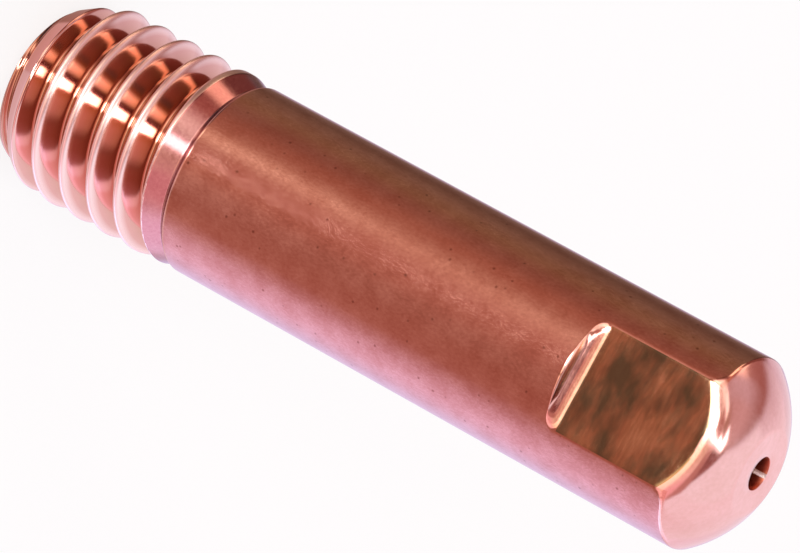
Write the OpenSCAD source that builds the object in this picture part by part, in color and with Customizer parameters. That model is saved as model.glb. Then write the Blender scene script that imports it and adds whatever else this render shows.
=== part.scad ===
// Contact tip for a small wire welding torch, turned from one piece of copper.
// It stands on its threaded end: +Z runs along the wire to the front, and the
// origin is the centre of the rear face.

/* [Shank] */
// Length from the rear face to the front face
overall_length = 25; // [18:0.5:40]
// Diameter of the plain shank
shank_diameter = 5.85; // [5.4:0.05:6.3]

/* [Front end] */
// Radius of the ball-turned front
dome_radius = 3.7; // [3.3:0.1:6]
// Diameter of the small flat face round the bore
face_diameter = 2.6; // [1.5:0.1:3.2]

/* [Wire bore] */
// Diameter of the bore that guides the wire
bore_diameter = 1; // [0.7:0.1:1.4]
// Diameter of the countersink where the wire enters
entry_diameter = 2.4; // [1.8:0.1:3.2]
// Full angle of the countersink
entry_angle = 60; // [40:5:90]

/* [Thread] */
// Major diameter of the thread
thread_diameter = 6; // [5.9:0.1:7]
// Pitch of the thread
thread_pitch = 1; // [0.5:0.05:1.25]
// Length from the rear face to where the groove has run out
thread_length = 5.65; // [4:0.05:10]
// Turns over which the groove gets shallow before it ends
runout_turns = 0.3; // [0.2:0.05:1]
// Height of the chamfer that leads into the thread
lead_in = 1.1; // [0.4:0.05:1.6]
// Angle between that chamfer and the axis
lead_in_angle = 30; // [15:5:45]
// Direction in which the groove crosses the rear face, in degrees from +X
thread_start = 217; // [0:1:359]
// Length of the relief between the last crest and the shank
relief_length = 0.8; // [0.5:0.05:1.5]
// Depth of that relief below the shank
relief_depth = 0.2; // [0.05:0.05:0.4]

/* [Spanner flats] */
// Distance across the two flats
across_flats = 4.85; // [4.4:0.05:5.3]
// Length of the flats from their shoulder to the front face
flat_length = 5.25; // [4:0.05:8]
// Radius that the cutter leaves at the foot of the shoulder
cutter_radius = 0.45; // [0.1:0.05:0.45]

/* [Hidden] */
$fn = 96;
// Play that lets a cutting shape stand clear of the surface it cuts
clear = 0.05;
// Steps in one turn of the thread
turn_steps = 40;
// Share of its depth that the groove still has where it ends
end_share = 0.05;
shank_radius = shank_diameter / 2;
thread_radius = thread_diameter / 2;
bore_radius = bore_diameter / 2;
entry_radius = entry_diameter / 2;
face_radius = face_diameter / 2;
// Metric thread form: depth, and the flats left at its crest and root
thread_depth = 0.65 * thread_pitch;
crest_flat = thread_pitch / 8;
root_flat = thread_pitch / 8;
flank_run = (thread_pitch - crest_flat - root_flat) / 2;
// Turns of the groove, from one pitch below the rear face to its end
groove_turns = thread_length / thread_pitch + 1;
// Heights where the shank starts and where the relief below it is deepest
shank_start = thread_length + relief_length;
relief_foot = shank_start - 0.75 * relief_depth;
dome_centre = overall_length - sqrt(pow(dome_radius, 2) - pow(face_radius, 2));
entry_depth = (entry_radius - bore_radius) / tan(entry_angle / 2);

// Share of the full depth that the groove has after a number of turns
function groove_share(turns) = min(1, (groove_turns - turns) / runout_turns + end_share);

// Corners of the groove's section after a number of turns, as [radius, height]
function groove_section(turns) =
    let (
        share = groove_share(turns),
        middle = thread_pitch * (turns - 1),
        root = thread_radius - thread_depth * share,
        outer = thread_radius + clear,
        half_root = root_flat / 2 * share,
        half_outer = half_root + flank_run * (outer - root) / thread_depth
    )
    [
        [root, middle - half_root],
        [root, middle + half_root],
        [outer, middle + half_outer],
        [outer, middle - half_outer]
    ];

// The same corners turned to their place round the axis
function groove_ring(turns) =
    let (angle = thread_start + 360 * turns)
    [for (p = groove_section(turns)) [p[0] * cos(angle), p[0] * sin(angle), p[1]]];

// Outline of the turned blank, from the axis out, with the chamfered thread end first
module blank_outline() {
    polygon([
        [0, 0],
        [thread_radius - lead_in * tan(lead_in_angle), 0],
        [thread_radius, lead_in],
        [thread_radius, thread_length],
        [shank_radius - relief_depth, relief_foot],
        [shank_radius, shank_start],
        [shank_radius, overall_length],
        [0, overall_length]
    ]);
}

// What the ball-turning tool takes off the front corner
module dome_waste() {
    difference() {
        translate([0, dome_centre]) square(2 * dome_radius);
        translate([0, dome_centre]) circle(dome_radius);
    }
}

module turned_blank() {
    rotate_extrude()
        difference() {
            blank_outline();
            dome_waste();
        }
}

// Helical V groove of the thread, with a run-out at its upper end
module thread_groove() {
    steps = ceil(groove_turns * turn_steps);
    rings = [for (i = [0 : steps]) groove_ring(groove_turns * i / steps)];
    last = 4 * steps;
    sides = [
        for (i = [0 : steps - 1], k = [0 : 3])
            let (a = 4 * i + k, b = 4 * i + (k + 1) % 4)
            each [[a, a + 4, b], [b, a + 4, b + 4]]
    ];
    caps = [[0, 1, 2, 3], [last + 3, last + 2, last + 1, last]];
    polyhedron(points = [for (r = rings) each r], faces = concat(sides, caps));
}

// Through bore with the countersink that guides the wire in
module wire_bore() {
    translate([0, 0, -clear]) cylinder(r = bore_radius, h = overall_length + 2 * clear);
    cylinder(r1 = entry_radius, r2 = bore_radius, h = entry_depth);
}

// Waste beside one flat, with the cutter's radius at the foot of the shoulder
module flat_waste() {
    reach = shank_radius + clear;
    width = 2 * reach;
    length = flat_length + clear;
    foot = across_flats / 2;
    translate([-reach, foot + cutter_radius, 0]) cube([width, reach, length]);
    translate([-reach, foot, cutter_radius]) cube([width, reach, length - cutter_radius]);
    translate([-reach, foot + cutter_radius, cutter_radius])
        rotate([0, 90, 0]) cylinder(r = cutter_radius, h = width);
}

module contact_tip() {
    color("#b5654a")
        difference() {
            turned_blank();
            thread_groove();
            wire_bore();
            for (side = [0, 180])
                rotate(side) translate([0, 0, overall_length - flat_length]) flat_waste();
        }
}

contact_tip();
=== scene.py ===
# %% [markdown]
# A contact tip for a wire welding torch is a copper part about as long as a finger's last joint.
# A thread at the rear screws into the torch, the wire runs through a fine bore, and two milled
# flats take a spanner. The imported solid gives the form, and this lesson dresses it: the same
# part as one smooth surface with rounded thread crests and broken edges, then its copper
# finishes, then a white table, soft light and the camera.

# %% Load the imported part
import math

import bpy
import numpy as np
from mathutils import Matrix, Vector


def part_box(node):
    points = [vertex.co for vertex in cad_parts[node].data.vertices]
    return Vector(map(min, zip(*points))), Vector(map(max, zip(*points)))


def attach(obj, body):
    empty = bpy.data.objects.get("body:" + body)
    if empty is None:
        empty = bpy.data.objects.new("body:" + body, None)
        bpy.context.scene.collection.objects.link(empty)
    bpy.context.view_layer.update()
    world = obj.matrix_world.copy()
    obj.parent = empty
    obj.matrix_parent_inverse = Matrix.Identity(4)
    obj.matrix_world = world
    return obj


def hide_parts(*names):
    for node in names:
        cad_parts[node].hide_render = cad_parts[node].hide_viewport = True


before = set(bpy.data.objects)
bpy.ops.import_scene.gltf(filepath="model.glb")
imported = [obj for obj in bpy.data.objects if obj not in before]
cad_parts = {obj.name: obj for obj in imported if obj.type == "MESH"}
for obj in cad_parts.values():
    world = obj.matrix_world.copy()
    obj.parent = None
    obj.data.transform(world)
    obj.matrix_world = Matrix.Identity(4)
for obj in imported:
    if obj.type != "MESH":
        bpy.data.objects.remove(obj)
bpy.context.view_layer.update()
low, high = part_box("contact_tip")
MM = 0.001
print("part, mm:", [round((b - a) / MM, 2) for a, b in zip(low, high)])

# %% [markdown]
# The sizes that the box doesn't tell are the ones that a drawing of the part would carry. They
# are in millimetres, and the surface below is worked out in millimetres too. The thread's groove
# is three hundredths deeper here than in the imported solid. The last four sizes are the widths over
# which edges are rounded: rolled crests, plain edges, the shoulder, and the edge between flat and
# dome, which is rounded the most.

# %% Sizes in millimetres
LENGTH = (high[2] - low[2]) / MM
THREAD_R = (high[0] - low[0]) / MM / 2
SHANK_R = 2.925
PITCH = 1.0
THREAD_DEPTH = 0.68 * PITCH
CREST_FLAT = PITCH / 8
ROOT_HALF = PITCH / 16
FLANK_RUN = (PITCH - CREST_FLAT - 2 * ROOT_HALF) / 2
THREAD_END = 5.65
RELIEF_LENGTH = 0.8
RELIEF_DEPTH = 0.2
SHANK_START = THREAD_END + RELIEF_LENGTH
RELIEF_FOOT = SHANK_START - 0.75 * RELIEF_DEPTH
RUNOUT_TURNS = 0.3
END_SHARE = 0.05
LEAD_IN = 1.1
LEAD_IN_ANGLE = math.radians(30)
THREAD_START = math.radians(217)
FLAT_Y = 2.425
FLAT_LENGTH = 5.25
CUTTER_R = 0.45
DOME_R = 3.7
FACE_R = 1.3
BORE_R = 0.5
ENTRY_R = 1.2
ENTRY_HALF_ANGLE = math.radians(30)
ENTRY_DEPTH = (ENTRY_R - BORE_R) / math.tan(ENTRY_HALF_ANGLE)
DOME_Z = LENGTH - math.sqrt(DOME_R**2 - FACE_R**2)
WALL_Z = LENGTH - FLAT_LENGTH
FOOT_Z = WALL_Z + CUTTER_R
WALL_SLOPE = 4
RIM_WIDTH = 0.34
RIM_Z = DOME_Z + math.sqrt(DOME_R**2 - FLAT_Y**2) - RIM_WIDTH
CORNER_HALF = 0.05
CREST_ROUND = 0.12
EDGE_ROUND = 0.05
SHOULDER_ROUND = 0.2
NOSE_ROUND = 0.4
print("dome centre at", round(DOME_Z, 3), "flat foot at", round(FOOT_Z, 3))

# %% [markdown]
# Every cut on a turned part makes its radius smaller, so the outside is the smallest of a few
# simple radii: the blank, the thread groove, the flats and the domed front. A plain minimum
# leaves knife edges. A smooth minimum blends the two values where they come closer than a small
# width, which is the burr-free round that handling and tumbling leave on copper.


# %% Smooth minimum
def smooth_min(a, b, width):
    """The smaller of a and b, less a quarter of width times the square of how far the two have
    closed in on each other within that width: it rounds the corner and leaves the rest alone."""
    near = np.clip(1 - np.abs(a - b) / width, 0, 1)
    return np.minimum(a, b) - near**2 * width / 4


# %% [markdown]
# The thread is a V groove that climbs one pitch in each turn. At an angle and a height, the
# distance to the nearest groove follows from how many pitches the height is above the helix.
# Near its end the groove gets shallower and runs out, and a shallow relief lies between the last
# crest and the shank.


# %% Radii of the cuts
def blank_radius(z):
    """Radius of the turned blank: lead-in chamfer, thread blank, relief, shank. The mean over a
    tenth of a millimetre rounds its corners."""
    stops = [0, LEAD_IN, THREAD_END, RELIEF_FOOT, SHANK_START, LENGTH]
    rear = THREAD_R - LEAD_IN * math.tan(LEAD_IN_ANGLE)
    radii = [rear, THREAD_R, THREAD_R, SHANK_R - RELIEF_DEPTH, SHANK_R, SHANK_R]
    shifts = np.linspace(-CORNER_HALF, CORNER_HALF, 7)
    return np.mean([np.interp(z + shift, stops, radii) for shift in shifts], 0)


def groove_radius(z, phi):
    """Radius of the groove's wall: its root plus a straight flank beyond half the root's width.
    The square root of a sum of squares rounds the corner between root and flank."""
    turn = (phi - THREAD_START) / (2 * np.pi)
    pitches = z / PITCH - turn
    nearest = np.round(pitches)
    left = THREAD_END / PITCH - nearest - turn
    share = np.clip(left / RUNOUT_TURNS + END_SHARE, 0, 1)
    away = np.abs(pitches - nearest) * PITCH - ROOT_HALF * share
    soft = ROOT_HALF / 3
    flank = (away + np.sqrt(away**2 + soft**2)) / 2
    wall = THREAD_R - THREAD_DEPTH * share + flank * THREAD_DEPTH / FLANK_RUN
    no_groove = THREAD_R + PITCH
    return np.where(share > 0, wall, no_groove)


def flat_radius(z, phi):
    """Distance from the axis to the milled flats, which face -Y and +Y: the flat's depth over
    the sine of the angle, which is kept above a small value so that the distance stays finite.
    At the shoulder the depth follows the cutter's round corner, then a steep wall."""
    rise = np.clip(FOOT_Z - z, 0, CUTTER_R)
    wall = WALL_SLOPE * np.maximum(WALL_Z - z, 0)
    depth = FLAT_Y + CUTTER_R - np.sqrt(CUTTER_R**2 - rise**2) + wall
    least_sine = 0.2
    return depth / np.maximum(np.abs(np.sin(phi)), least_sine)


def dome_radius(z):
    """Radius of the ball-turned front: a circle round the dome's centre, open below it."""
    over = np.clip(z - DOME_Z, 0, DOME_R)
    return np.sqrt(DOME_R**2 - over**2)


def outer_radius(z, phi):
    """The smallest of all the cuts, with rounded crests and edges."""
    turned = smooth_min(blank_radius(z), groove_radius(z, phi), CREST_ROUND)
    front = smooth_min(flat_radius(z, phi), dome_radius(z), NOSE_ROUND)
    at_shoulder = np.clip((FOOT_Z - z) / CUTTER_R, 0, 1)
    width = EDGE_ROUND + at_shoulder * (SHOULDER_ROUND - EDGE_ROUND)
    return smooth_min(turned, front, width)


# %% [markdown]
# The surface is one closed grid: columns go round the axis, and rows follow the outline from the
# rear face along the outside, over the dome, down the bore and back. Edges come out crisp only
# where grid lines run along them, so extra columns sit at the sides of the flats, and the rows at
# the front follow the line where the dome meets the shank and the flats. Rows lie close together
# on the thread and at the shoulder, where the surface bends most.

# %% Columns round the axis
flat_half = math.acos(FLAT_Y / SHANK_R)
flat_sides = np.array([s * np.pi / 2 + t * flat_half for s in (-1, 1) for t in (-1, 1)])
EVEN_COLUMNS = 180
even = -np.pi + np.arange(EVEN_COLUMNS) * 2 * np.pi / EVEN_COLUMNS
beside = np.radians([-1.3, -0.9, -0.55, -0.25, 0, 0.25, 0.55, 0.9, 1.3])
clear = np.abs(even[:, None] - flat_sides[None, :]).min(1) > 1.2 * beside[-1]
columns = np.sort(np.concatenate([even[clear], (flat_sides[:, None] + beside).ravel()]))
print("columns:", len(columns))

# %% Rows along the outside
THREAD_ROWS, SHANK_ROWS, FILLET_ROWS = 350, 12, 20
FLAT_ROWS, EDGE_ROWS, DOME_ROWS = 12, 25, 20
PAST_THREAD, BEFORE_WALL, BEFORE_EDGE = 0.08, 0.1, 0.05
edge_r = np.minimum(SHANK_R, flat_radius(LENGTH, columns))
edge_z = DOME_Z + np.sqrt(DOME_R**2 - edge_r**2)
fine_end = SHANK_START + PAST_THREAD
thread_z = np.linspace(0, fine_end, THREAD_ROWS)
shank_z = np.linspace(fine_end, WALL_Z - BEFORE_WALL, SHANK_ROWS)[1:]
wall_z = WALL_Z + np.array([-0.06, -0.042, -0.03, -0.02, -0.012, -0.005])
fillet_z = WALL_Z + CUTTER_R * np.linspace(0, 1.1, FILLET_ROWS) ** 1.6
straight = np.concatenate([thread_z, shank_z, wall_z, fillet_z])
fixed_rows = np.repeat(straight[:, None], len(columns), 1)
edge_rows = edge_z + NOSE_ROUND * np.linspace(-1, 1, EDGE_ROWS)[:, None]
flat_stop = edge_rows[0] - BEFORE_EDGE
run = np.linspace(0, 1, FLAT_ROWS)[1:, None]
flat_rows = straight[-1] + run * (flat_stop - straight[-1])
dome_start = np.arccos((edge_rows[-1] - DOME_Z) / DOME_R)
dome_stop = math.asin(FACE_R / DOME_R)
bend = np.linspace(0, 1, DOME_ROWS)[1:, None]
dome_rows = DOME_Z + DOME_R * np.cos(dome_start + bend * (dome_stop - dome_start))
outer_z = np.concatenate([fixed_rows, flat_rows, edge_rows, dome_rows])
outer_r = outer_radius(outer_z, columns[None, :])
print("outer rows:", len(outer_z))

# %% Rows of the front face, the bore, the wire entry and the rear face
BREAK = 0.03
inside = [
    (0.93 * FACE_R, LENGTH), (0.6 * FACE_R, LENGTH), (BORE_R + BREAK, LENGTH),
    (BORE_R + BREAK / 3, LENGTH - BREAK / 3), (BORE_R, LENGTH - BREAK),
    (BORE_R, LENGTH - 0.3), (BORE_R, LENGTH - 2), (BORE_R, LENGTH / 2),
    (BORE_R, ENTRY_DEPTH + 0.1), (BORE_R + 0.01, ENTRY_DEPTH - 0.01),
    ((BORE_R + ENTRY_R) / 2, ENTRY_DEPTH / 2), (ENTRY_R - 0.02, BREAK), (ENTRY_R + 0.02, 0.0),
]
inner_r = np.repeat(np.array([r for r, z in inside])[:, None], len(columns), 1)
inner_z = np.repeat(np.array([z for r, z in inside])[:, None], len(columns), 1)
rear_shares = np.array([0.15, 0.6, 0.92])[:, None]
rear_r = ENTRY_R + rear_shares * (outer_r[0] - ENTRY_R)
radius = np.concatenate([outer_r, inner_r, rear_r])
height = np.concatenate([outer_z, inner_z, np.zeros_like(rear_r)])
print("rows:", len(radius), "points:", radius.size)

# %% [markdown]
# The grid closes on itself both ways, so its faces need no caps. Each face gets the finish of the
# zone that it lies in: the rolled thread, the drawn shank, the milled flats and their shoulders,
# the turned front and the drilled bore are made by different tools. The clean finish of the front
# reaches over the rounded edge to the end of each flat. A narrow pale strip along the mouth of the
# bore is a painted highlight.


# %% Mesh from the grid
def grid_mesh(name, r, z, phi):
    """Closed grid of points at radius r, height z and angle phi, joined into four-sided faces."""
    points = np.stack([r * np.cos(phi), r * np.sin(phi), z], -1).reshape(-1, 3) * MM
    index = np.arange(r.size).reshape(r.shape)
    up, side = np.roll(index, -1, 0), np.roll(index, -1, 1)
    faces = np.stack([index, side, np.roll(up, -1, 1), up], -1).reshape(-1, 4)
    mesh = bpy.data.meshes.new(name)
    mesh.from_pydata(points.tolist(), [], faces.tolist())
    mesh.polygons.foreach_set("use_smooth", np.ones(len(faces), bool))
    return mesh


mesh = grid_mesh("contact_tip_skin", radius, height, columns[None, :])
tip = bpy.data.objects.new("contact_tip_skin", mesh)
bpy.context.collection.objects.link(tip)
print("faces:", len(mesh.polygons))

# %% Zone of each face
THREAD, RELIEF, SHANK, FLATS, SHOULDER, FRONT, BORE, BORE_GLINT = range(8)
GROOVE_MARGIN, SHOULDER_MARGIN, FLAT_MARGIN = 0.1, 0.03, 0.002
SHOULDER_AHEAD, FLAT_AHEAD = 0.05, 0.08
CLEAN_SHARE = 0.7
FACE_ROWS, GLINT_ROWS = 3, 3
rows = len(outer_z)
zone = np.full(radius.shape, FRONT)
zone[:rows] = np.where(outer_z < SHANK_START, RELIEF, SHANK)
grooved = groove_radius(outer_z, columns[None, :]) < outer_r + GROOVE_MARGIN
zone[:rows][(outer_z < THREAD_END) | grooved] = THREAD
flat_r = flat_radius(outer_z, columns[None, :])
near_flat = flat_r < SHANK_R + SHOULDER_MARGIN
zone[:rows][near_flat & (outer_z > WALL_Z - SHOULDER_AHEAD)] = SHOULDER
milled = flat_r < SHANK_R - FLAT_MARGIN
zone[:rows][milled & (outer_z > FOOT_Z - FLAT_AHEAD)] = FLATS
clean_z = np.minimum(RIM_Z, edge_z - CLEAN_SHARE * NOSE_ROUND)
zone[:rows][outer_z > np.where(milled, clean_z, edge_z)] = FRONT
bore_rows = slice(rows + FACE_ROWS, rows + len(inside) - 1)
zone[bore_rows] = BORE
# The pale strip at the mouth of the bore, a painted highlight, has a zone of its own.
GLINT_HALF = math.radians(8)
zone[bore_rows][:GLINT_ROWS, np.abs(columns - np.pi / 2) < GLINT_HALF] = BORE_GLINT
mesh.polygons.foreach_set("material_index", zone.ravel())
print("faces in each zone:", np.bincount(zone.ravel()))

# %% [markdown]
# The finishes are built from nodes. One small function adds a node, sets its options and joins
# its inputs, and one turns a written colour into the linear numbers that a shader works with.


# %% Node and colour helpers
def linear(code):
    """sRGB hex code to linear red, green, blue and alpha."""
    c = np.array([int(code[k : k + 2], 16) for k in (1, 3, 5)]) / 255
    c = np.where(c <= 0.04045, c / 12.92, ((c + 0.055) / 1.055) ** 2.4)
    return (*c.tolist(), 1.0)


def add(tree, kind, inputs=None, **settings):
    """Add a node, set its options, and give each named input a value or a link."""
    node = tree.nodes.new(kind)
    for key, value in settings.items():
        setattr(node, key, value)
    for key, value in (inputs or {}).items():
        if isinstance(value, bpy.types.NodeSocket):
            tree.links.new(value, node.inputs[key])
        else:
            node.inputs[key].default_value = value
    return node


def new_material(name):
    """A material with an empty tree, and the coordinates of the part."""
    material = bpy.data.materials.new(name)
    material.use_nodes = True
    tree = material.node_tree
    tree.nodes.clear()
    place = add(tree, "ShaderNodeTexCoord").outputs["Object"]
    return material, tree, place


def ramp(tree, value, stops):
    """Colour ramp whose stops are a place, a hex code and, if it isn't one, a strength."""
    node = add(tree, "ShaderNodeValToRGB", {"Fac": value})
    bar = node.color_ramp.elements
    while len(bar) < len(stops):
        bar.new(0.5)
    for stop, (where, code, *strength) in zip(bar, stops):
        stop.position = where
        stop.color = [c * (strength[0] if strength else 1) for c in linear(code)[:3]] + [1]
    return node.outputs["Color"]


# %% [markdown]
# Copper is a metal, so nearly all that the eye sees on it is a reflection, tinted by the metal.
# Each tool leaves its own grain: drawing leaves fine lines along the rod, milling leaves lines
# across the flat, and the other finishes have an even grain. All patterns are placed in the part's
# own coordinates, so a grain of a tenth of a millimetre is a scale of ten thousand per metre.

# %% Copper with grain
PER_METRE = 1 / MM
EVEN = (1, 1, 1)
BLOTCH_GRAINS = 9
GRAIN_DEPTH = 0.01 * MM


def copper(name, tones, gloss, grain_mm, stretch, relief):
    """Copper whose tone and roughness follow a fine stretched grain and a soft wide blotch.
    A finish that makes its own tone, gloss or relief gives None for it. Gives back the material,
    its tree, the coordinates and the shader, for details to be added."""
    material, tree, place = new_material(name)
    stretched = add(tree, "ShaderNodeMapping", {"Vector": place, "Scale": stretch}).outputs["Vector"]
    fine = {"Vector": stretched, "Scale": PER_METRE / grain_mm, "Detail": 3.0, "Roughness": 0.6}
    grain = add(tree, "ShaderNodeTexNoise", fine).outputs["Fac"]
    wide = {"Vector": place, "Scale": PER_METRE / (BLOTCH_GRAINS * grain_mm), "Detail": 2.0}
    blotch = add(tree, "ShaderNodeTexNoise", wide).outputs["Fac"]
    both = add(tree, "ShaderNodeMath", {0: grain, 1: blotch}, operation="ADD").outputs["Value"]
    limits = {"Value": both, "From Min": 0.7, "From Max": 1.3}
    shade = add(tree, "ShaderNodeMapRange", limits).outputs["Result"]
    surface = {"Metallic": 1.0}
    if tones:
        surface["Base Color"] = ramp(tree, shade, [(0, tones[0]), (1, tones[1])])
    if gloss:
        limits = {"Value": shade, "To Min": gloss[0], "To Max": gloss[1]}
        surface["Roughness"] = add(tree, "ShaderNodeMapRange", limits).outputs["Result"]
    if relief:
        bump = {"Height": grain, "Strength": relief, "Distance": GRAIN_DEPTH}
        surface["Normal"] = add(tree, "ShaderNodeBump", bump).outputs["Normal"]
    shader = add(tree, "ShaderNodeBsdfPrincipled", surface)
    add(tree, "ShaderNodeOutputMaterial", {"Surface": shader.outputs["BSDF"]})
    return material, tree, place, shader


# %% [markdown]
# The shank is drawn rod: satin, a little streaked along its length, with small dark pits where
# the skin of the rod has oxidised. The pits are the cores of random cells that the surface
# happens to cut.

# %% Drawn shank
tones = ("#dc9f91", "#f0bbaf")
shank, tree, place, shader = copper("drawn copper shank", tones, (0.13, 0.17), 0.07, (1, 1, 0.6), 0.05)
PIT_CELL, PIT_R = 0.45, 0.055
cells = {"Vector": place, "Scale": PER_METRE / PIT_CELL}
core = add(tree, "ShaderNodeTexVoronoi", cells).outputs["Distance"]
limits = {"Value": core, "From Min": 0.4 * PIT_R / PIT_CELL, "From Max": PIT_R / PIT_CELL}
limits.update({"To Min": 0.6, "To Max": 0.0})
pit = add(tree, "ShaderNodeMapRange", limits).outputs["Result"]
tone = shader.inputs["Base Color"].links[0].from_socket
colours = {"Factor": pit, "A": tone, "B": linear("#8a4a38")}
pitted = add(tree, "ShaderNodeMix", colours, data_type="RGBA").outputs["Result"]
tree.links.new(pitted, shader.inputs["Base Color"])
print("made:", shank.name)

# %% [markdown]
# In the thread, the crests are satin and painted paler, a painted highlight, and towards the bottom
# of the groove the copper is shinier and painted a shade darker, a painted shade. The distance from
# the axis tells how deep a point lies. The relief behind the thread was cut with a plain tool and is
# darker.

# %% Rolled thread and its relief
thread, tree, place, shader = copper("rolled copper thread", None, None, 0.1, EVEN, 0.03)
level = {0: place, 1: (1, 1, 0)}
across = add(tree, "ShaderNodeVectorMath", level, operation="MULTIPLY").outputs["Vector"]
from_axis = add(tree, "ShaderNodeVectorMath", {0: across}, operation="LENGTH").outputs["Value"]
limits = {"Value": from_axis, "From Min": (THREAD_R - THREAD_DEPTH) * MM, "From Max": THREAD_R * MM}
depth = add(tree, "ShaderNodeMapRange", limits).outputs["Result"]
# Painted highlight on the crests, painted shade towards the bottom of the groove.
crest_highlight_groove_shade = [(0, "#c48c7a"), (0.3, "#d8a494"), (0.65, "#e2aea4"), (0.9, "#fbdcd6")]
tree.links.new(ramp(tree, depth, crest_highlight_groove_shade), shader.inputs["Base Color"])
limits = {"Value": depth, "From Min": 0.75, "From Max": 0.95, "To Min": 0.09, "To Max": 0.32}
satin = add(tree, "ShaderNodeMapRange", limits).outputs["Result"]
tree.links.new(satin, shader.inputs["Roughness"])
tones = ("#b87e80", "#c89492")
relief = copper("turned copper relief", tones, (0.15, 0.2), 0.1, EVEN, 0.05)[0]
print("made:", thread.name, "and", relief.name)

# %% [markdown]
# The flats were milled across the part, and a darker olive-brown tarnish lies on them in soft
# patches. Their shoulders are cleaner copper with the shine of the cutter's round edge.

# %% Milled flats and shoulders
PATCH_SIZE = 0.75
PATCH_SHIFT = (0, 0, -0.8 * MM)
tones = ("#bc9070", "#d8ac88")
flats, tree, place, shader = copper("milled copper flats", tones, (0.12, 0.18), 0.1, (0.15, 1, 1), 0.06)
stretch = {"Vector": place, "Location": PATCH_SHIFT, "Scale": (0.5, 1, 1)}
streaked = add(tree, "ShaderNodeMapping", stretch).outputs["Vector"]
patches = {"Vector": streaked, "Scale": PER_METRE / PATCH_SIZE, "Detail": 3.0}
patch = add(tree, "ShaderNodeTexNoise", patches).outputs["Fac"]
limits = {"Value": patch, "From Min": 0.36, "From Max": 0.6, "To Min": 0.9, "To Max": 0.0}
dark = add(tree, "ShaderNodeMapRange", limits).outputs["Result"]
tone = shader.inputs["Base Color"].links[0].from_socket
colours = {"Factor": dark, "A": tone, "B": linear("#72705a")}
stained = add(tree, "ShaderNodeMix", colours, data_type="RGBA").outputs["Result"]
tree.links.new(stained, shader.inputs["Base Color"])
tones = ("#e0a497", "#ecb6a9")
shoulder = copper("milled copper shoulder", tones, (0.09, 0.13), 0.08, EVEN, 0.04)[0]
print("made:", flats.name, "and", shoulder.name)

# %% [markdown]
# The front was turned last and is the palest of the large surfaces. The bore is drilled, so it is
# dull, and its copper has a darker, redder tone. A pale strip at its mouth is a painted highlight,
# with fine ridges across that catch light from above.
# A wave node takes the sine of twenty times its coordinate, so two pi over twenty is the scale
# that gives one ridge for each unit of length.

# %% Turned front, drilled bore and the painted highlight at its mouth
tones = ("#e9b3aa", "#f1beb8")
front = copper("turned copper front", tones, (0.13, 0.18), 0.12, EVEN, 0.06)[0]
tones = ("#c06850", "#d88a70")
bore = copper("drilled copper bore", tones, (0.3, 0.4), 0.1, EVEN, 0.1)[0]
# A pale strip at the mouth of the bore is a painted highlight; its ridges catch real light.
tones = ("#f6dcd6", "#fde8e4")
painted_glint, tree, place, shader = copper("copper with painted glint", tones, (0.2, 0.3), 0.1, EVEN, None)
RIDGE = 0.05
WAVE_UNIT = 2 * math.pi / 20
ridges = {"Vector": place, "Scale": WAVE_UNIT * PER_METRE / RIDGE}
wave = add(tree, "ShaderNodeTexWave", ridges, bands_direction="Z").outputs["Fac"]
bump = {"Height": wave, "Strength": 1.0, "Distance": 0.2 * RIDGE * MM}
tree.links.new(add(tree, "ShaderNodeBump", bump).outputs["Normal"], shader.inputs["Normal"])
print("made:", front.name, "and", bore.name, "and", painted_glint.name)

# %% [markdown]
# Each face already has the number of its zone, so the finishes go on in the order of the zones.

# %% Dress the part
for finish in (thread, relief, shank, flats, shoulder, front, bore, painted_glint):
    mesh.materials.append(finish)
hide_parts("contact_tip")
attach(tip, "root")
print("finishes:", [m.name for m in mesh.materials])

# %% [markdown]
# The part stands on a plain white table. The table is white to the camera, and keeps a soft
# shadow because a share of what the camera sees there is the table's own shading. It is hidden
# from reflections, so the metal shows the lower part of the room in its place.

# %% Table
FLOOR_HALF = 0.5
SHADOW_SHARE = 0.16
floor_mesh = bpy.data.meshes.new("table")
signs = (-1, -1), (1, -1), (1, 1), (-1, 1)
corners = [(x * FLOOR_HALF, y * FLOOR_HALF, low[2]) for x, y in signs]
floor_mesh.from_pydata(corners, [], [(0, 1, 2, 3)])
floor = bpy.data.objects.new("table", floor_mesh)
bpy.context.collection.objects.link(floor)
paper, tree = new_material("white paper")[:2]
shaded = add(tree, "ShaderNodeBsdfDiffuse", {"Color": linear("#ffffff")}).outputs[0]
white = add(tree, "ShaderNodeEmission", {"Color": linear("#ffffff"), "Strength": 1.0}).outputs[0]
seen = add(tree, "ShaderNodeMixShader", {0: SHADOW_SHARE, 1: white, 2: shaded}).outputs[0]
camera_ray = add(tree, "ShaderNodeLightPath").outputs["Is Camera Ray"]
either = add(tree, "ShaderNodeMixShader", {0: camera_ray, 1: shaded, 2: seen}).outputs[0]
add(tree, "ShaderNodeOutputMaterial", {"Surface": either})
floor_mesh.materials.append(paper)
floor.visible_glossy = False
print("table, m:", 2 * FLOOR_HALF)

# %% [markdown]
# A small shiny part takes its whole look from the room. Here the room is built of rings, one above
# the other, each with its own light and dark by compass direction. They go from below the bench
# over its edge, the sill and a rail up to the window, the transom over it and the ceiling. On the
# camera's side most of them are warm browns and pinks with a few bright gaps, and on the far side
# most of them are pale.

# %% Compass and height in the room
world = bpy.data.worlds.new("studio")
bpy.context.scene.world = world
world.use_nodes = True
tree = world.node_tree
tree.nodes.clear()
way = add(tree, "ShaderNodeTexCoord").outputs["Generated"]
xyz = add(tree, "ShaderNodeSeparateXYZ", {"Vector": way}).outputs
minus_x = add(tree, "ShaderNodeMath", {0: xyz["X"], 1: -1.0}, operation="MULTIPLY").outputs["Value"]
minus_y = add(tree, "ShaderNodeMath", {0: xyz["Y"], 1: -1.0}, operation="MULTIPLY").outputs["Value"]
compass = add(tree, "ShaderNodeMath", {0: minus_x, 1: minus_y}, operation="ARCTAN2").outputs["Value"]


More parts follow.
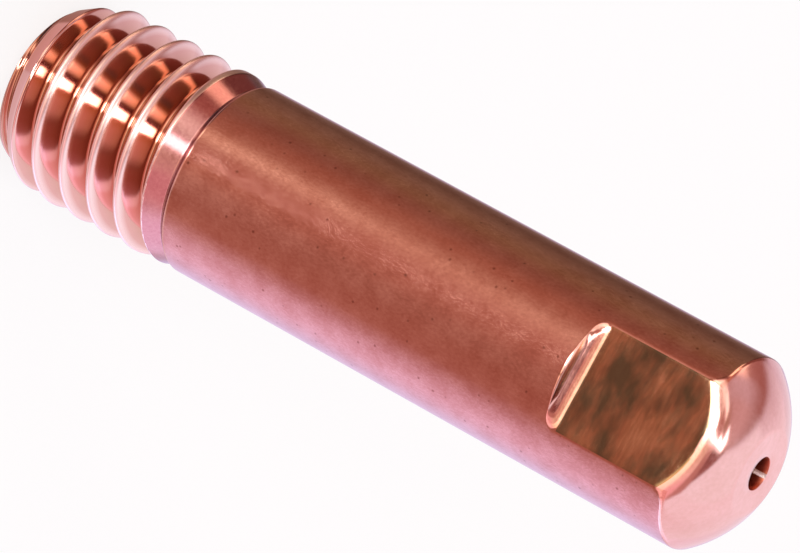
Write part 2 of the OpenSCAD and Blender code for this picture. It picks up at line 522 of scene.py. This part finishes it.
def between(value, start, stop, blend="SMOOTHSTEP"):
    """Rise from 0 to 1 as the value goes from start to stop."""
    limits = {"Value": value, "From Min": start, "From Max": stop}
    return add(tree, "ShaderNodeMapRange", limits, interpolation_type=blend).outputs["Result"]


def rise(low_deg, high_deg):
    """Rise from 0 to 1 between two heights above the level, in degrees."""
    return between(xyz["Z"], math.sin(math.radians(low_deg)), math.sin(math.radians(high_deg)))


turn = between(compass, -math.pi, math.pi, "LINEAR")
print("nodes for the directions:", len(tree.nodes))


def ring(*stops):
    """One ring of the room: stops of bearing from the camera towards -X, colour and strength."""
    return ramp(tree, turn, [((degrees + 180) / 360, *paint) for degrees, *paint in stops])


# %% Rings of the room
below = ring((-180, "#f4e4ee"), (-60, "#f4e4ee"), (0, "#dcc4cc"), (60, "#e8c2c2"), (150, "#e8c2c2"))
under = ring(
    (-180, "#f4e4ee"), (-95, "#f4e4ee"), (-66, "#d8b4a0"), (-56, "#cca490"), (-46, "#9c786e"),
    (-30, "#f4d8d0"), (-12, "#fcd4c4"), (-2, "#f0b890"), (18, "#8a5058"), (25, "#7a4a44"),
    (31, "#fff0d8", 1.8), (38, "#fff0d8", 2.6), (46, "#b07850"), (55, "#5c5654"), (66, "#404a50"),
    (82, "#404a50"), (100, "#a47a72"), (140, "#b08880"),
)
bench = ring(
    (-180, "#e4d8f4", 1.1), (-144, "#d8d4ff", 1.3), (-113, "#edd8ff", 1.12), (-92, "#e8c8e6"),
    (-76, "#c89aa2"), (-62, "#b47c72"), (-40, "#ac7466"), (-20, "#ad7a6c"), (-4, "#b47e70"),
    (10, "#c28c7c"), (21, "#d3a392"), (32, "#d6aa97"), (44, "#c29380"), (58, "#b07864"),
    (79, "#946858"), (100, "#886e54"), (119, "#826c5a"), (138, "#6a5446"), (156, "#806a60"),
    (174, "#e4d8f4"),
)
sill = ring(
    (-180, "#e4d8f4", 1.1), (-135, "#e4d8f4", 1.1), (-118, "#c8d8ff", 3.0), (-80, "#c8d8ff", 3.0),
    (-68, "#a06a58"), (0, "#ac7264"), (40, "#b5836d"), (70, "#5a3a30"), (88, "#7a5040"),
    (94, "#ffe0c0", 2.4), (104, "#ffe0c0", 2.4), (110, "#6a4438"), (135, "#4a3430"), (156, "#806a60"),
    (174, "#e4d8f4"),
)
rail = ring(
    (-180, "#f4eefa", 1.1), (-145, "#f4e6f8", 1.1), (-126, "#e4e0ff", 1.9), (-82, "#e8dcfa", 1.9),
    (-60, "#f0c4ca", 1.5), (-30, "#f0c8c8", 1.6), (-12, "#ffe4c4", 1.8), (2, "#fff0d0", 1.9),
    (12, "#fff0dc", 2.0), (32, "#fff4e4", 2.5), (48, "#f8dccc", 1.8), (60, "#a06a60"), (73, "#96605a"),
    (79, "#ffd8b8", 2.2), (94, "#ffd8b8", 2.2), (101, "#8a564e"), (138, "#8a564e"), (146, "#e8d8e8"),
    (172, "#f4eefa", 1.1),
)
window = ring(
    (-180, "#f4eefa", 1.2), (-140, "#f4eefa", 1.15), (-75, "#f4dce6", 1.1), (-55, "#f0b8bc", 1.25),
    (-30, "#f0b8bc", 1.25), (-18, "#f4d0c4", 1.2), (-4, "#f4d1b8"), (2, "#f4d1b4"), (8, "#c89484"),
    (18, "#c89484"), (32, "#fff4e4", 1.6), (46, "#f8dccc", 1.2), (56, "#d28d7a"), (78, "#d28d7a"),
    (95, "#b07c74"), (100, "#ffd8c0", 1.7), (108, "#ffd8c0", 1.7), (114, "#b8847c"), (134, "#a87068"),
    (141, "#e4d4e0"), (165, "#f4eefa", 1.2),
)
transom = ring(
    (-180, "#f4eefa", 1.2), (-75, "#f4eefa", 1.2), (-58, "#cc9894"), (-8, "#c8948a"), (0, "#e0a898"),
    (4, "#d09888"), (9, "#c08478"), (27, "#c08478"), (35, "#fff4e8", 1.8), (43, "#fff4e8", 1.8),
    (52, "#d3b2b3"), (110, "#dbc2c8"), (134, "#a87068"), (141, "#ece0ec"), (165, "#f4eefa", 1.2),
)
ceiling = ("#f4f4ff", 1.2)
sky = ring(
    (-180, *ceiling), (-54, *ceiling), (-40, "#a87470"), (-10, "#8c5654"), (0, "#844c48"),
    (16, "#b88a7a"), (40, "#b88a78"), (72, "#d4aeac"), (110, "#dcbaba"), (133, "#b48e8c"),
    (142, *ceiling),
)
room = below
heights = (-56, -53), (-31, -29), (-18, -16.5), (-12, -10), (8, 11), (28, 36), (46, 54)
layers = under, bench, sill, rail, window, transom, sky
for layer, (starts, ends) in zip(layers, heights):
    inputs = {"Factor": rise(starts, ends), "A": room, "B": layer}
    room = add(tree, "ShaderNodeMix", inputs, data_type="RGBA").outputs["Result"]
print("rings:", 1 + len(layers))

# %% [markdown]
# A tall narrow lamp stands on the camera's side. On the thread it draws one bright line across all
# the turns, because somewhere on each rounded crest and in each groove the copper faces halfway
# between the lamp and the eye. The lamp is brightest low down, slim above its middle, and has a
# wide head beside its top. The bench hides a stretch of it, so the plain shank has no line.


# %% Strip lamp
def times(*factors):
    """Product of all factors."""
    total = factors[0]
    for factor in factors[1:]:
        pair = {0: total, 1: factor}
        total = add(tree, "ShaderNodeMath", pair, operation="MULTIPLY").outputs["Value"]
    return total


def sector(start, full, fade, stop):
    """One between the bearings full and fade, and nothing beyond start and stop, in degrees."""
    start, full, fade, stop = [math.radians(bearing) for bearing in (start, full, fade, stop)]
    return times(between(compass, start, full), between(compass, stop, fade))


beam, slim, head = sector(2.5, 4.5, 15, 17), sector(2.5, 4, 7, 9), sector(14, 18, 54, 62)
lamp = (
    (beam, (-42, -40, -35, -33.5), 16.0), (beam, (-15, -13, 6, 8), 14.0), (beam, (6, 8, 22, 26), 5.0),
    (slim, (22, 26, 52, 56), 5.0), (beam, (50, 54, 80, 84), 5.0), (head, (66, 69, 81, 83), 3.0),
)
for bearings, (start, full, fade, stop), strength in lamp:
    part = times(bearings, rise(start, full), rise(stop, fade))
    inputs = {"Factor": part, "A": room, "B": [strength] * 4}
    room = add(tree, "ShaderNodeMix", inputs, data_type="RGBA").outputs["Result"]
print("lamp parts:", len(lamp))

# %% [markdown]
# The rings and the lamp light the part and show in its metal. A ray that comes straight from the
# camera finds plain white in their place, so the picture has a white background.

# %% White for the camera
camera_ray = add(tree, "ShaderNodeLightPath").outputs["Is Camera Ray"]
inputs = {"Factor": camera_ray, "A": room, "B": linear("#ffffff")}
seen = add(tree, "ShaderNodeMix", inputs, data_type="RGBA").outputs["Result"]
surround = add(tree, "ShaderNodeBackground", {"Color": seen, "Strength": 1.0}).outputs[0]
add(tree, "ShaderNodeOutputWorld", {"Surface": surround})
print("world nodes:", len(tree.nodes))

# %% [markdown]
# The camera looks down at the part from a little above, from the side of one flat, and is rolled
# so that the part lies across the picture. Its long lens keeps the part's sides nearly parallel.

# %% Camera
CAMERA_DISTANCE = 0.17662
CAMERA_LIFT = math.radians(25.52)
CAMERA_BEARING = math.radians(0.66)
CAMERA_ROLL = math.radians(118.83)
AIM = Vector((0.000012, 0, 0.012675))
LENS_MM, SENSOR_MM = 284.3, 36
level = math.cos(CAMERA_LIFT)
back_x = -math.sin(CAMERA_BEARING) * level
back_y = -math.cos(CAMERA_BEARING) * level
back = Vector((back_x, back_y, math.sin(CAMERA_LIFT)))
camera_data = bpy.data.cameras.new("camera")
camera_data.sensor_width = SENSOR_MM
camera_data.lens = LENS_MM
camera_data.clip_start, camera_data.clip_end = 0.01, 5
camera = bpy.data.objects.new("camera", camera_data)
bpy.context.collection.objects.link(camera)
upright = (-back).to_track_quat("-Z", "Y").to_matrix().to_4x4()
spin = Matrix.Rotation(CAMERA_ROLL, 4, "Z")
camera.matrix_world = Matrix.Translation(AIM + back * CAMERA_DISTANCE) @ upright @ spin
bpy.context.scene.camera = camera
bpy.context.scene.view_settings.view_transform = "Standard"
print("camera at, m:", [round(v, 4) for v in camera.matrix_world.translation])
